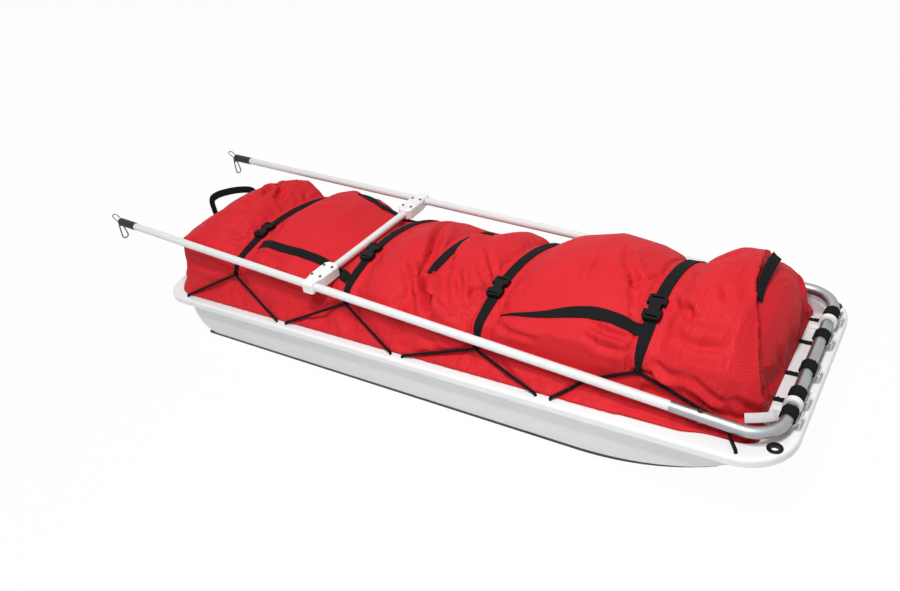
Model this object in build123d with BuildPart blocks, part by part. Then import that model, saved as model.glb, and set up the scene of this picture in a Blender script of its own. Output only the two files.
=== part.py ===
# Pulk: a towed snow sled with a filled cover bag and its drawbar folded back over the load.
# Frame: +X to the sled's front, +Y to its left, +Z up, floor at Z = 0, millimetres.
# Stations are distances measured back from the drawbar's front bar.
import os
from math import acos, asin, cos, degrees, radians, sin, sqrt, tan

from build123d import *

os.makedirs("parts", exist_ok=True)

# Hull
rim_length = 1714.0
rim_width = 558.0
rim_corner_radius = 95.0
rim_top = 154.0
lip_depth = 18.0
lip_edge_radius = 6.0
hull_wall = 4.0
mouth_spare = 10.0
top_inset = 36.0
chine_inset = 39.0
floor_inset = 47.0
chine_height = 66.0
nose_radius = 615.0
nose_inset = 24.2
stern_run = 97.0
stern_bend_radius = 60.0

# Runners
runner_height = 8.0
runner_width = 14.0
runner_nose_station = 100.0

# Drawbar
bar_height = 178.0
bar_setback = 27.0
bar_pitch = 5.0
bow_diameter = 22.0
bow_wall = 1.5
bow_bend_radius = 60.0
bow_inset = 43.0
bow_leg = 187.0
tip_closing = 16.0
shaft_diameter = 20.0
shaft_wall = 2.5
shaft_length = 1586.0
spigot_length = 72.0
spigot_clearance = 0.2
pin_diameter = 6.0
pin_head_diameter = 10.0
pin_head_height = 2.0
pin_station = 132.0
crossbar_share = 0.6378
crossbar_diameter = 20.0
crossbar_wall = 2.0
crossbar_end_gap = 2.0
clamp_length = 88.0
clamp_outer = 17.0
clamp_width = 44.0
clamp_shaft_width = 34.0
clamp_thickness = 30.0
clamp_clearance = 0.15
clamp_neck = 20.0
clamp_nose = 10.0
clamp_chamfer = 3.0
screw_gauge = 26.0
screw_first = 23.0
screw_pitch = 44.0
screw_diameter = 4.0
screw_length = 10.0
screw_head_diameter = 7.2
screw_head_height = 2.4
screw_socket = 1.9
screw_socket_depth = 1.5
tip_diameter = 17.0
tip_length = 57.0
tip_plug_length = 30.0
tip_plug_clearance = 0.3
eye_flange_radius = 7.0
eye_flange_thickness = 3.0
eye_stud_radius = 3.0
eye_stud_length = 16.0
eye_tab_thickness = 4.0
eye_tab_radius = 6.5
eye_drop = 10.0
eye_reach = 9.0
bail_wire = 3.0
bail_length = 30.0
bail_width = 18.0
bail_bend = 7.0
bail_tilt = 35.0
hook_wire = 4.0
hook_length = 48.0
hook_top_width = 10.0
hook_width = 24.0
hook_bend = 8.0
hook_shoulder_bend = 3.0
hook_clearance = 0.4

# Bar saddles, loops and their buckles
saddle_width = 12.0
saddle_thickness = 5.0
saddle_foot_length = 44.0
saddle_foot_thickness = 5.0
saddle_share = 0.568
running_clearance = 0.3
webbing_width = 25.0
webbing_thickness = 2.2
loop_neck = 7.0
loop_tail_width = 9.0
ladder_length = 26.0
ladder_width = 32.0
ladder_thickness = 3.0
ladder_slot = 6.0

# Bag
bag_clearance = 0.4
strap_land = 17.0
crossbar_land = 12.0
bag_wall_ease = 2.0
crossbar_room = 8.0
crossbar_crown = 14.0
shaft_drop = 18.0
side_rise_limit = 88.0
side_swell = 12.0
strap_fall = 20.0

# Straps, buckles, handles, cords
buckle_length = 58.0
buckle_width = 36.0
buckle_thickness = 9.0
buckle_corner = 6.0
buckle_window_length = 16.0
buckle_window_width = 7.0
handle_width = 14.0
handle_thickness = 7.0
handle_bend = 12.0
handle_share = 0.954
handle_rise = 202.0
hem_depth = 50.0
hem_side = 103.0
hem_thickness = 2.5
cord_diameter = 5.0
cord_bend = 4.0
cord_gap = 1.5
cord_tail = 24.0
shaft_gap = 5.0
lash_first = 60.0
lash_last = 119.0
lash_count = 5
lash_pair = 34.0
lash_inset = 15.0
lash_hole_radius = 3.5
eyelet_hole_radius = 7.0
eyelet_radius = 14.0
eyelet_height = 1.8
eyelet_inset = 18.0
eyelet_bearing = 35.0

# Places that follow from the sizes above
bow_radius = bow_diameter / 2
shaft_radius = shaft_diameter / 2
crossbar_radius = crossbar_diameter / 2
shaft_end = bow_leg + shaft_length
tip_end = shaft_end + tip_length
pitch = radians(bar_pitch)
bail_foot = tip_end + eye_flange_thickness / 2
bail_reach = bail_foot + bail_length * cos(radians(bail_tilt))
bail_rise = bail_length * sin(radians(bail_tilt))
rear_reach = bail_reach * cos(pitch) - bail_rise * sin(pitch) + bail_wire / 2
bar_x = (rear_reach - bar_setback) / 2
hull_floor = runner_height
hull_mid_x = bar_x + bar_setback - rim_length / 2
hull_rear_station = rim_length - bar_setback
nose_center_height = hull_floor + nose_radius
half_width = rim_width / 2
bow_spacing = rim_width - 2 * bow_inset
tip_spacing = bow_spacing - tip_closing
hem_width = rim_width - 2 * hem_side
saddle_station_y = saddle_share * bow_spacing / 2
crossbar_station = crossbar_share * hull_rear_station
stern_floor_station = hull_rear_station - stern_run
nose_reach = sqrt(nose_radius * nose_radius - (nose_center_height - rim_top) ** 2)
nose_start = nose_reach + nose_inset - bar_setback
lash_pitch = (hull_rear_station - lash_last - lash_first) / (lash_count - 1)


def station_x(station):
    return bar_x - station


def along(share):
    # Station at a share of the way from the front bar to the rear rim.
    return share * hull_rear_station


def across(share):
    # Place across at a share of the way from the middle to the drawbar's side.
    return share * bow_spacing / 2


def wall_inset(level):
    # Inset of the tub's outer wall from the rim edge: two flat bands that meet at the chine.
    if level >= chine_height:
        slope = (top_inset - chine_inset) / (rim_top - chine_height)
    else:
        slope = (chine_inset - floor_inset) / (chine_height - hull_floor)
    return chine_inset + (level - chine_height) * slope


def shaft_half(station):
    # Half the distance between the shafts, which close in slightly to the tips.
    return (bow_spacing + (tip_spacing - bow_spacing) * station / shaft_end) / 2


def shaft_height(station):
    return bar_height + station * tan(pitch)


def tub_form(inset, spare):
    # The tub as a solid: plan sections that step in to the floor, cut by the side profile.
    floor_level = hull_floor + inset
    top_level = rim_top + spare
    center_x = station_x(nose_start)
    radius = nose_radius - inset
    sweep_angle = degrees(acos((nose_center_height - top_level) / radius))
    rake = (hull_rear_station - top_inset - stern_floor_station) / (rim_top - hull_floor)
    stern_shift = inset * sqrt(1 + rake * rake)
    stern_floor_x = station_x(stern_floor_station + rake * inset) + stern_shift
    stern_top_x = stern_floor_x - rake * (top_level - floor_level)
    with BuildPart() as form:
        for level in (hull_floor - hull_wall, chine_height, top_level):
            edge = wall_inset(level) + inset
            with BuildSketch(Plane((hull_mid_x, 0, level))):
                RectangleRounded(rim_length - 2 * edge, rim_width - 2 * edge, rim_corner_radius - edge)
        loft(ruled=True)
        with BuildSketch(Plane.XZ) as profile:
            with BuildLine():
                stern = Line((stern_top_x, top_level), (stern_floor_x, floor_level))
                Line(stern @ 1, (center_x, floor_level))
                nose = CenterArc((center_x, nose_center_height), radius, 270, sweep_angle)
                Line(nose @ 1, stern @ 0)
            make_face()
            stern_corner = profile.vertices().sort_by_distance((stern_floor_x, 0, floor_level))[0]
            fillet(stern_corner, stern_bend_radius - inset)
        extrude(amount=rim_width, both=True, mode=Mode.INTERSECT)
    return form.part


# Rim holes: a pair at each lashing point, one at each end
lash_y = half_width - lash_inset
lash_stations = [lash_first + lash_pitch * index for index in range(lash_count)]
lash_holes = [lash_stations[0], lash_stations[-1]]
for middle_station in lash_stations[1:-1]:
    lash_holes += [middle_station - lash_pair / 2, middle_station + lash_pair / 2]

corner_x = station_x(-bar_setback + rim_corner_radius)
corner_y = half_width - rim_corner_radius
eyelet_arm = rim_corner_radius - eyelet_inset
eyelet_x = corner_x + eyelet_arm * cos(radians(eyelet_bearing))
eyelet_y = corner_y + eyelet_arm * sin(radians(eyelet_bearing))

# Hull
tub_outside = tub_form(0, 0)
tub_inside = tub_form(hull_wall, mouth_spare)
with BuildPart() as hull:
    with BuildSketch(Plane((hull_mid_x, 0, rim_top - lip_depth))):
        RectangleRounded(rim_length, rim_width, rim_corner_radius)
    extrude(amount=lip_depth)
    fillet(hull.faces().sort_by(Axis.Z)[-1].edges(), lip_edge_radius)
    with BuildSketch(Plane((hull_mid_x, 0, rim_top - lip_depth))):
        RectangleRounded(rim_length - 2 * hull_wall, rim_width - 2 * hull_wall, rim_corner_radius - hull_wall)
    extrude(amount=lip_depth - hull_wall, mode=Mode.SUBTRACT)
    add(tub_outside)
    add(tub_inside, mode=Mode.SUBTRACT)
    for side in (-1, 1):
        with Locations(*[(station_x(hole), side * lash_y, rim_top) for hole in lash_holes]):
            Hole(lash_hole_radius, depth=2 * hull_wall)
        with Locations((eyelet_x, side * eyelet_y, rim_top)):
            Hole(eyelet_hole_radius + hull_wall / 2, depth=2 * hull_wall)
hull.part.label = "hull"
export_step(hull.part, "parts/hull.step")

# Rim eyelets: a flanged bush clinched from both sides of the rim
for side, label in ((1, "eyelet_left"), (-1, "eyelet_right")):
    rim_under = rim_top - hull_wall
    with BuildPart() as eyelet:
        with BuildSketch(Plane((eyelet_x, side * eyelet_y, rim_top))):
            Circle(eyelet_radius)
        extrude(amount=eyelet_height)
        fillet(eyelet.faces().sort_by(Axis.Z)[-1].edges(), eyelet_height / 2)
        with BuildSketch(Plane((eyelet_x, side * eyelet_y, rim_under - eyelet_height))):
            Circle(eyelet_radius)
        extrude(amount=eyelet_height)
        with BuildSketch(Plane((eyelet_x, side * eyelet_y, rim_under))):
            Circle(eyelet_hole_radius + hull_wall / 2)
        extrude(amount=hull_wall)
        with Locations((eyelet_x, side * eyelet_y, rim_top + eyelet_height)):
            Hole(eyelet_hole_radius)
    eyelet.part.label = label
    export_step(eyelet.part, "parts/" + label + ".step")

# Runners: strips bent along the floor and up the nose
runner_turn = degrees(asin((nose_start - runner_nose_station) / (nose_radius + runner_height)))
for side, label in ((1, "runner_left"), (-1, "runner_right")):
    runner_y = side * (half_width - floor_inset - runner_width / 2)
    nose_x = station_x(nose_start)
    with BuildPart() as runner:
        with BuildSketch(Plane.XZ.offset(-runner_y)):
            with BuildLine():
                tail = Line((station_x(stern_floor_station), hull_floor), (station_x(stern_floor_station), 0))
                Line(tail @ 1, (nose_x, 0))
                lower = CenterArc((nose_x, nose_center_height), nose_radius + runner_height, 270, runner_turn)
                upper = CenterArc((nose_x, nose_center_height), nose_radius, 270, runner_turn)
                Line(lower @ 1, upper @ 1)
                Line(upper @ 0, tail @ 0)
            make_face()
        extrude(amount=runner_width / 2, both=True)
    runner.part.label = label
    export_step(runner.part, "parts/" + label + ".step")


# Bag
crossbar_under = bar_height + crossbar_station * sin(pitch) - crossbar_radius
dip = crossbar_under - crossbar_room - rim_top
opening_half = half_width - top_inset - hull_wall
opening_corner = rim_corner_radius - top_inset - hull_wall
opening_front = -bar_setback + top_inset + hull_wall
opening_rear = hull_rear_station - top_inset - hull_wall

crossbar_row_share = crossbar_station * cos(pitch) / hull_rear_station
# Columns: share of the way to the rear rim, half length of a strap's land, base inset from the
# rim edge, shoulder inset from the shaft line, shoulder rise and crest rise above the rim,
# then how far the left shoulder sits further in and lower than the right one
bag_rows = (
    (0.9698, 0.0, 62.0, 52.0, 98.0, 112.0, 0.0, 26.0),
    (0.9484, 0.0, 30.0, 36.0, 144.0, 154.0, 0.0, 32.0),
    (0.9129, 0.0, 23.0, 32.0, 154.0, 184.0, 0.0, 22.0),
    (0.8714, 0.0, 23.0, 32.0, 140.0, 206.0, 0.0, -10.0),
    (0.8204, strap_land, 23.0, 34.0, 106.0, 140.0, 0.0, 0.0),
    (0.7617, 0.0, 22.0, 30.0, 124.0, 172.0, 0.0, -12.0),
    (0.7054, 0.0, 22.0, 32.0, 116.0, 158.0, 0.0, 0.0),
    (0.6592, 0.0, 23.0, 34.0, 92.0, 116.0, 14.0, 6.0),
    (crossbar_row_share, crossbar_land, 23.0, 36.0, dip - crossbar_crown, dip, 20.0, 6.0),
    (0.5839, strap_land, 23.0, 34.0, 108.0, 146.0, 24.0, 14.0),
    (0.5276, 0.0, 22.0, 30.0, 112.0, 156.0, 28.0, 18.0),
    (0.4742, strap_land, 23.0, 32.0, 96.0, 136.0, 28.0, 14.0),
    (0.4161, 0.0, 22.0, 30.0, 110.0, 158.0, 26.0, 12.0),
    (0.3646, strap_land, 23.0, 32.0, 90.0, 130.0, 22.0, 12.0),
    (0.3112, 0.0, 22.0, 32.0, 106.0, 168.0, 10.0, 4.0),
    (0.2549, 0.0, 22.0, 33.0, 112.0, 190.0, 4.0, 0.0),
    (0.2015, 0.0, 22.0, 33.0, 112.0, 184.0, 14.0, 12.0),
    (0.1523, strap_land, 23.0, 34.0, 104.0, 170.0, 26.0, 28.0),
    (0.0978, 0.0, 24.0, 34.0, 116.0, 206.0, 14.0, -12.0),
    (0.0581, 0.0, 30.0, 40.0, 106.0, 190.0, -6.0, -8.0),
    (0.0344, 0.0, 44.0, 54.0, 84.0, 142.0, -10.0, -12.0),
    (0.0231, 0.0, 70.0, 66.0, 52.0, 84.0, -10.0, -10.0),
)
bag_front_station = along(bag_rows[-1][0])


def opening_at(station):
    # Half width of the tub's mouth, which narrows round its corners.
    reach = max(station - (opening_rear - opening_corner), (opening_front + opening_corner) - station, 0)
    return opening_half - opening_corner + sqrt(opening_corner * opening_corner - reach * reach)


def bag_floor(station):
    # Underside of the bag: the tub's floor, raised over the nose and the stern.
    nose_reach = max(nose_start - station, 0)
    inner_radius = nose_radius - hull_wall - bag_clearance
    nose = nose_center_height - sqrt(inner_radius * inner_radius - nose_reach * nose_reach)
    rake = (rim_top - hull_floor) / (hull_rear_station - top_inset - stern_floor_station)
    stern_start = stern_floor_station - stern_bend_radius / 2
    stern = hull_floor + hull_wall + bag_clearance + max(station - stern_start, 0) * rake
    return max(nose, min(stern, rim_top - lip_depth))


def bag_side(row, side, grow):
    # Corner points of one side of a bag section, from the rim up: base, side and shoulder.
    share, land, base_inset, shoulder_inset, shoulder_rise, crest_rise, left_ease, left_drop = row
    station = along(share)
    ease = left_ease if side > 0 else 0
    drop = left_drop if side > 0 else 0
    base_y = half_width - base_inset + grow
    shoulder_y = shaft_half(station) - shoulder_inset - ease + grow
    shoulder_z = rim_top + shoulder_rise - drop + grow
    side_z = min(shaft_height(station), rim_top + side_rise_limit + shaft_drop, shoulder_z) - shaft_drop
    side_y = min(shoulder_y + side_swell, base_y)
    return (base_y, rim_top + bag_clearance), (side_y, side_z), (shoulder_y, shoulder_z)


def bag_form(grow):
    # The filled bag as a loft of cross-sections, its visible side grown outwards by a skin.
    with BuildPart() as form:
        for row in bag_rows:
            station = along(row[0])
            land = row[1]
            crest = rim_top + row[5] + grow
            left = bag_side(row, 1, grow)
            right = [(-reach, height) for reach, height in bag_side(row, -1, grow)]
            mouth_y = min(opening_at(station), left[0][0]) - bag_wall_ease
            floor_y = min(half_width - floor_inset - hull_wall - bag_wall_ease, mouth_y - 4 * bag_wall_ease)
            lap = left[0][1]
            ends = (station + land, station - land) if land else (station,)
            for end in ends:
                with BuildSketch(Plane((station_x(end), 0, 0), x_dir=(0, 1, 0), z_dir=(1, 0, 0))):
                    with BuildLine():
                        Polyline(
                            *reversed(right),
                            (-mouth_y, lap),
                            (-floor_y, bag_floor(end)),
                            (floor_y, bag_floor(end)),
                            (mouth_y, lap),
                            *left,
                        )
                        ThreePointArc(left[-1], (0, crest), right[-1])
                    make_face()
        loft(ruled=True)
    return form.part


bag_part = bag_form(0)
bag_part.label = "bag"
export_step(bag_part, "parts/bag.step")

# Webbing that lies on the bag is cut from a skin of one webbing thickness round it
webbing_inside = bag_form(bag_clearance)
webbing_outside = bag_form(bag_clearance + webbing_thickness)


def side_at(row, side, height):
    # Reach of the bag's side at a height between the rim and the shoulder.
    base, middle, shoulder = bag_side(row, side, 0)
    low, high = (base, middle) if height < middle[1] else (middle, shoulder)
    return low[0] + (high[0] - low[0]) * (height - low[1]) / (high[1] - low[1])


strap_lands = [row for row in bag_rows if row[1] == strap_land]
strap_top = 2 * rim_top + max(row[5] for row in bag_rows)

# Cross straps. Columns: label, row of the land, height of the ends above the rim, buckle's place
# across on the right-hand side, or none for the short strap sewn on the top
strap_rows = (
    ("cross_strap_1", strap_lands[0], 84.0, 0.33),
    ("cross_strap_2", strap_lands[1], 82.0, 0.39),
    ("cross_strap_3", strap_lands[2], 118.0, None),
    ("cross_strap_4", strap_lands[3], 52.0, 0.445),
    ("cross_strap_5", strap_lands[4], 92.0, 0.487),
)


def strap_end(strap_row, side):
    # Height of a strap's end: a set rise, or a little below the shoulder where that is lower.
    label, land_row, end_rise, buckle_share = strap_row
    if buckle_share is None:
        return rim_top + end_rise
    return min(rim_top + end_rise, bag_side(land_row, side, 0)[-1][1] - strap_fall)


for strap_row in strap_rows:
    label, land_row, end_rise, buckle_share = strap_row
    strap_x = station_x(along(land_row[0]))
    with BuildPart() as strap:
        with BuildSketch(Plane((strap_x, 0, 0), x_dir=(0, 1, 0), z_dir=(1, 0, 0))):
            for side in (1, -1):
                low = strap_end(strap_row, side)
                with Locations((side * half_width / 2, (low + strap_top) / 2)):
                    Rectangle(half_width, strap_top - low)
        extrude(amount=webbing_width / 2, both=True)
        add(webbing_outside, mode=Mode.INTERSECT)
        add(webbing_inside, mode=Mode.SUBTRACT)
    strap.part.label = label
    export_step(strap.part, "parts/" + label + ".step")


def top_arc(row, grow):
    # Centre and radius of the arc over a bag section, through both shoulders and the crest.
    left = bag_side(row, 1, grow)[-1]
    right_reach, right_z = bag_side(row, -1, grow)[-1]
    crest = rim_top + row[5] + grow
    left_lift = (left[0] * left[0] + left[1] * left[1] - crest * crest) / 2
    right_lift = (right_reach * right_reach + right_z * right_z - crest * crest) / 2
    spread = left[0] * (right_z - crest) + right_reach * (left[1] - crest)
    center_y = (left_lift * (right_z - crest) - right_lift * (left[1] - crest)) / spread
    center_z = (left[0] * right_lift + right_reach * left_lift) / spread
    return center_y, center_z, sqrt(center_y * center_y + (crest - center_z) ** 2)


# Side-release buckles on the right-hand shoulder of four straps
for label, land_row, end_rise, buckle_share in strap_rows:
    if buckle_share is None:
        continue
    center_y, center_z, arc_radius = top_arc(land_row, bag_clearance + webbing_thickness)
    lean = asin((-across(buckle_share) - center_y) / arc_radius)
    seat_radius = arc_radius + bag_clearance
    seat = (
        station_x(along(land_row[0])),
        center_y + seat_radius * sin(lean),
        center_z + seat_radius * cos(lean),
    )
    seat_plane = Plane(seat, x_dir=(0, cos(lean), -sin(lean)), z_dir=(0, sin(lean), cos(lean)))
    buckle_label = label.replace("cross_strap", "buckle")
    with BuildPart() as buckle:
        with BuildSketch(seat_plane):
            RectangleRounded(buckle_length, buckle_width, buckle_corner)
            with GridLocations(0, buckle_width - buckle_window_width, 1, 2):
                RectangleRounded(
                    buckle_window_length, buckle_window_width, buckle_window_width / 3, mode=Mode.SUBTRACT
                )
            with GridLocations(buckle_length - 2 * buckle_window_width, 0, 2, 1):
                RectangleRounded(
                    buckle_window_width / 2, webbing_width, buckle_window_width / 5, mode=Mode.SUBTRACT
                )
        extrude(amount=buckle_thickness)
    buckle.part.label = buckle_label
    export_step(buckle.part, "parts/" + buckle_label + ".step")

# Loose strap tails and the front handle. Columns: label, first shares along and across,
# last shares along and across
tail_rows = (
    ("strap_tail_rear", 0.5928, -0.788, 0.7914, -0.508),
    ("strap_tail_front", 0.1612, -0.754, 0.332, -0.619),
    ("strap_tail_left", 0.6592, 0.695, 0.735, 0.593),
    ("front_handle", 0.064, -0.085, 0.064, 0.441),
)
for label, first_along, first_across, last_along, last_across in tail_rows:
    start = Vector(station_x(along(first_along)), across(first_across), rim_top + side_rise_limit / 2)
    finish = Vector(station_x(along(last_along)), across(last_across), rim_top + side_rise_limit / 2)
    run = finish - start
    with BuildPart() as tail:
        with BuildSketch(Plane((start + finish) * 0.5, x_dir=run)):
            Rectangle(run.length, webbing_width)
        extrude(amount=strap_top)
        add(webbing_outside, mode=Mode.INTERSECT)
        add(webbing_inside, mode=Mode.SUBTRACT)
    tail.part.label = label
    export_step(tail.part, "parts/" + label + ".step")

# Rear handle: a stiff webbing loop that stands on the bag's rear edge, higher at its right end.
# Columns: share across, share of the handle's rise above the rim
handle_points = (
    (-0.25, 0.54),
    (-0.105, 1.0),
    (0.36, 0.79),
    (0.44, 0.54),
)
handle_x = station_x(along(handle_share))
handle_plane = Plane((handle_x, 0, rim_top), x_dir=(0, 1, 0), z_dir=(1, 0, 0))
with BuildPart() as rear_handle:
    with BuildLine(handle_plane) as handle_line:
        FilletPolyline(*[(across(side), handle_rise * up) for side, up in handle_points], radius=handle_bend)
    handle_path = handle_line.wires()[0]
    with BuildSketch(Plane(handle_path @ 0, x_dir=(1, 0, 0), z_dir=handle_path % 0)):
        RectangleRounded(handle_width, handle_thickness, handle_thickness / 3)
    sweep(path=handle_path)
    add(webbing_inside, mode=Mode.SUBTRACT)
rear_handle.part.label = "rear_handle"
export_step(rear_handle.part, "parts/rear_handle.step")

# White hem sewn to the bag's front edge, lying on the rim under the bar
hem_rear_station = bag_front_station - bag_clearance
with BuildPart() as front_hem:
    with BuildSketch(Plane((station_x(hem_rear_station - hem_depth / 2), 0, rim_top))):
        Rectangle(hem_depth, hem_width)
    extrude(amount=hem_thickness)
front_hem.part.label = "front_hem"
export_step(front_hem.part, "parts/front_hem.step")

# Saddles that carry the front bar, each a ring on a foot
hem_top = rim_top + hem_thickness
bore_radius = bow_radius + running_clearance
for side, label in ((1, "saddle_left"), (-1, "saddle_right")):
    with BuildPart() as saddle:
        with BuildSketch(Plane.XZ.offset(-side * saddle_station_y)):
            with Locations((bar_x, bar_height)):
                Circle(bore_radius + saddle_thickness)
            neck_height = bar_height - hem_top
            with Locations((bar_x, hem_top + neck_height / 2)):
                Rectangle(2 * bow_radius, neck_height)
            foot_x = station_x(hem_rear_station - hem_depth + saddle_foot_length / 2)
            with Locations((foot_x, hem_top + saddle_foot_thickness / 2)):
                Rectangle(saddle_foot_length, saddle_foot_thickness)
            with Locations((bar_x, bar_height)):
                Circle(bore_radius, mode=Mode.SUBTRACT)
        extrude(amount=saddle_width / 2, both=True)
    saddle.part.label = label
    export_step(saddle.part, "parts/" + label + ".step")

# Webbing loops round the bar, each with a neck on the hem and a tail back to the bag
loop_places = [across(share) for share in (-0.685, -0.45, -0.106, 0.339, 0.685)]
loop_radius = bore_radius + webbing_thickness
with BuildPart() as bar_loops:
    for loop_y in loop_places:
        with BuildSketch(Plane.XZ.offset(-loop_y)):
            with Locations((bar_x, bar_height)):
                Circle(loop_radius)
            with Locations((bar_x, (hem_top + bar_height) / 2)):
                Rectangle(loop_neck, bar_height - hem_top)
            with Locations((bar_x, bar_height)):
                Circle(bore_radius, mode=Mode.SUBTRACT)
        extrude(amount=webbing_width / 2, both=True)
        tail_run = hem_rear_station
        with BuildSketch(Plane((station_x(tail_run / 2), loop_y, hem_top))):
            Rectangle(tail_run, loop_tail_width)
        extrude(amount=webbing_thickness)
bar_loops.part.label = "bar_loops"
export_step(bar_loops.part, "parts/bar_loops.step")

# Steel ladder-lock buckles on the front of the loops
ladder_bearing = radians(-35)
ladder_arm = loop_radius + ladder_thickness / 2 + running_clearance
ladder_x = bar_x + ladder_arm * cos(ladder_bearing)
ladder_z = bar_height + ladder_arm * sin(ladder_bearing)
with BuildPart() as ladder_buckles:
    for loop_y in loop_places:
        ladder_plane = Plane(
            (ladder_x, loop_y, ladder_z),
            x_dir=(0, 1, 0),
            z_dir=(cos(ladder_bearing), 0, sin(ladder_bearing)),
        )
        with BuildSketch(ladder_plane):
            RectangleRounded(ladder_width, ladder_length, ladder_thickness)
            with GridLocations(0, ladder_length / 2, 1, 2):
                Rectangle(webbing_width, ladder_slot, mode=Mode.SUBTRACT)
        extrude(amount=ladder_thickness / 2, both=True)
ladder_buckles.part.label = "ladder_buckles"
export_step(ladder_buckles.part, "parts/ladder_buckles.step")

# Lashing cords: up from each rim hole to a strap end and down to the next hole
cord_radius = cord_diameter / 2
rim_under = rim_top - hull_wall
under_z = rim_under - cord_radius - running_clearance
over_z = rim_top + cord_diameter
lashed = [row for row in strap_rows if row[3] is not None]
for side, label in ((1, "lash_cord_left"), (-1, "lash_cord_right")):
    route = [(lash_stations[-1] + cord_tail, lash_y, under_z), (lash_stations[-1], lash_y, under_z)]
    route.append((lash_stations[-1], lash_y, over_z))
    for index, strap_row in enumerate(lashed):
        land_row = strap_row[1]
        apex_station = along(land_row[0])
        apex_z = strap_end(strap_row, side) - cord_diameter
        apex_y = side_at(land_row, side, apex_z) + cord_radius + cord_gap
        last = index == len(lashed) - 1
        front_hole = lash_stations[-2 - index] + (0 if last else lash_pair / 2)
        if last:
            # The shaft lies over the cord here and holds it in against the bag.
            rear_pass = (apex_station + route[-1][0]) / 2 + lash_pair / 2
            rear_y = shaft_half(rear_pass) - shaft_radius - shaft_gap - cord_radius
            route.append((rear_pass, rear_y, shaft_height(rear_pass) - shaft_drop))
        route.append((apex_station, apex_y, apex_z))
        if last:
            front_pass = front_hole + lash_pair
            front_y = shaft_half(front_pass) - bow_radius - shaft_gap - cord_radius
            route.append((front_pass, front_y, shaft_height(front_pass) - shaft_drop + cord_radius))
        route.append((front_hole, lash_y, over_z))
        route.append((front_hole, lash_y, under_z))
        if not last:
            next_hole = front_hole - lash_pair
            route.append((next_hole, lash_y, under_z))
            route.append((next_hole, lash_y, over_z))
    route.append((lash_stations[0] - cord_tail, lash_y, under_z))
    with BuildPart() as lash_cord:
        with BuildLine() as cord_line:
            FilletPolyline(*[(station_x(stop), side * reach, up) for stop, reach, up in route], radius=cord_bend)
        cord_path = cord_line.wires()[0]
        with BuildSketch(Plane(cord_path @ 0, z_dir=cord_path % 0)):
            Circle(cord_radius)
        sweep(path=cord_path)
    lash_cord.part.label = label
    export_step(lash_cord.part, "parts/" + label + ".step")

# Drawbar, drawn in its own plane: local X runs back along the shafts, local Y to the right
drawbar = Plane(
    (bar_x, 0, bar_height), x_dir=(-cos(pitch), 0, sin(pitch)), z_dir=(sin(pitch), 0, cos(pitch))
)


def shaft_plane(side, station):
    # Plane across a shaft at a station, its normal along the shaft towards the tip.
    origin = drawbar.from_local_coords(Vector(station, -side * shaft_half(station), 0))
    ahead = drawbar.from_local_coords(Vector(station + 1, -side * shaft_half(station + 1), 0))
    return Plane(origin, x_dir=drawbar.z_dir, z_dir=ahead - origin)


pin_half = shaft_half(pin_station)
pin_hole_radius = pin_diameter / 2 + spigot_clearance / 2
with BuildPart() as bow:
    with BuildLine(drawbar) as bow_line:
        FilletPolyline(
            (bow_leg, -shaft_half(bow_leg)),
            (0, -bow_spacing / 2),
            (0, bow_spacing / 2),
            (bow_leg, shaft_half(bow_leg)),
            radius=bow_bend_radius,
        )
    bow_path = bow_line.wires()[0]
    with BuildSketch(Plane(bow_path @ 0, z_dir=bow_path % 0)):
        Circle(bow_radius)
        Circle(bow_radius - bow_wall, mode=Mode.SUBTRACT)
    sweep(path=bow_path)
    with BuildSketch(drawbar):
        with Locations((pin_station, pin_half), (pin_station, -pin_half)):
            Circle(pin_hole_radius)
    extrude(amount=bow_diameter, both=True, mode=Mode.SUBTRACT)
bow.part.label = "bow"
export_step(bow.part, "parts/bow.step")

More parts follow.
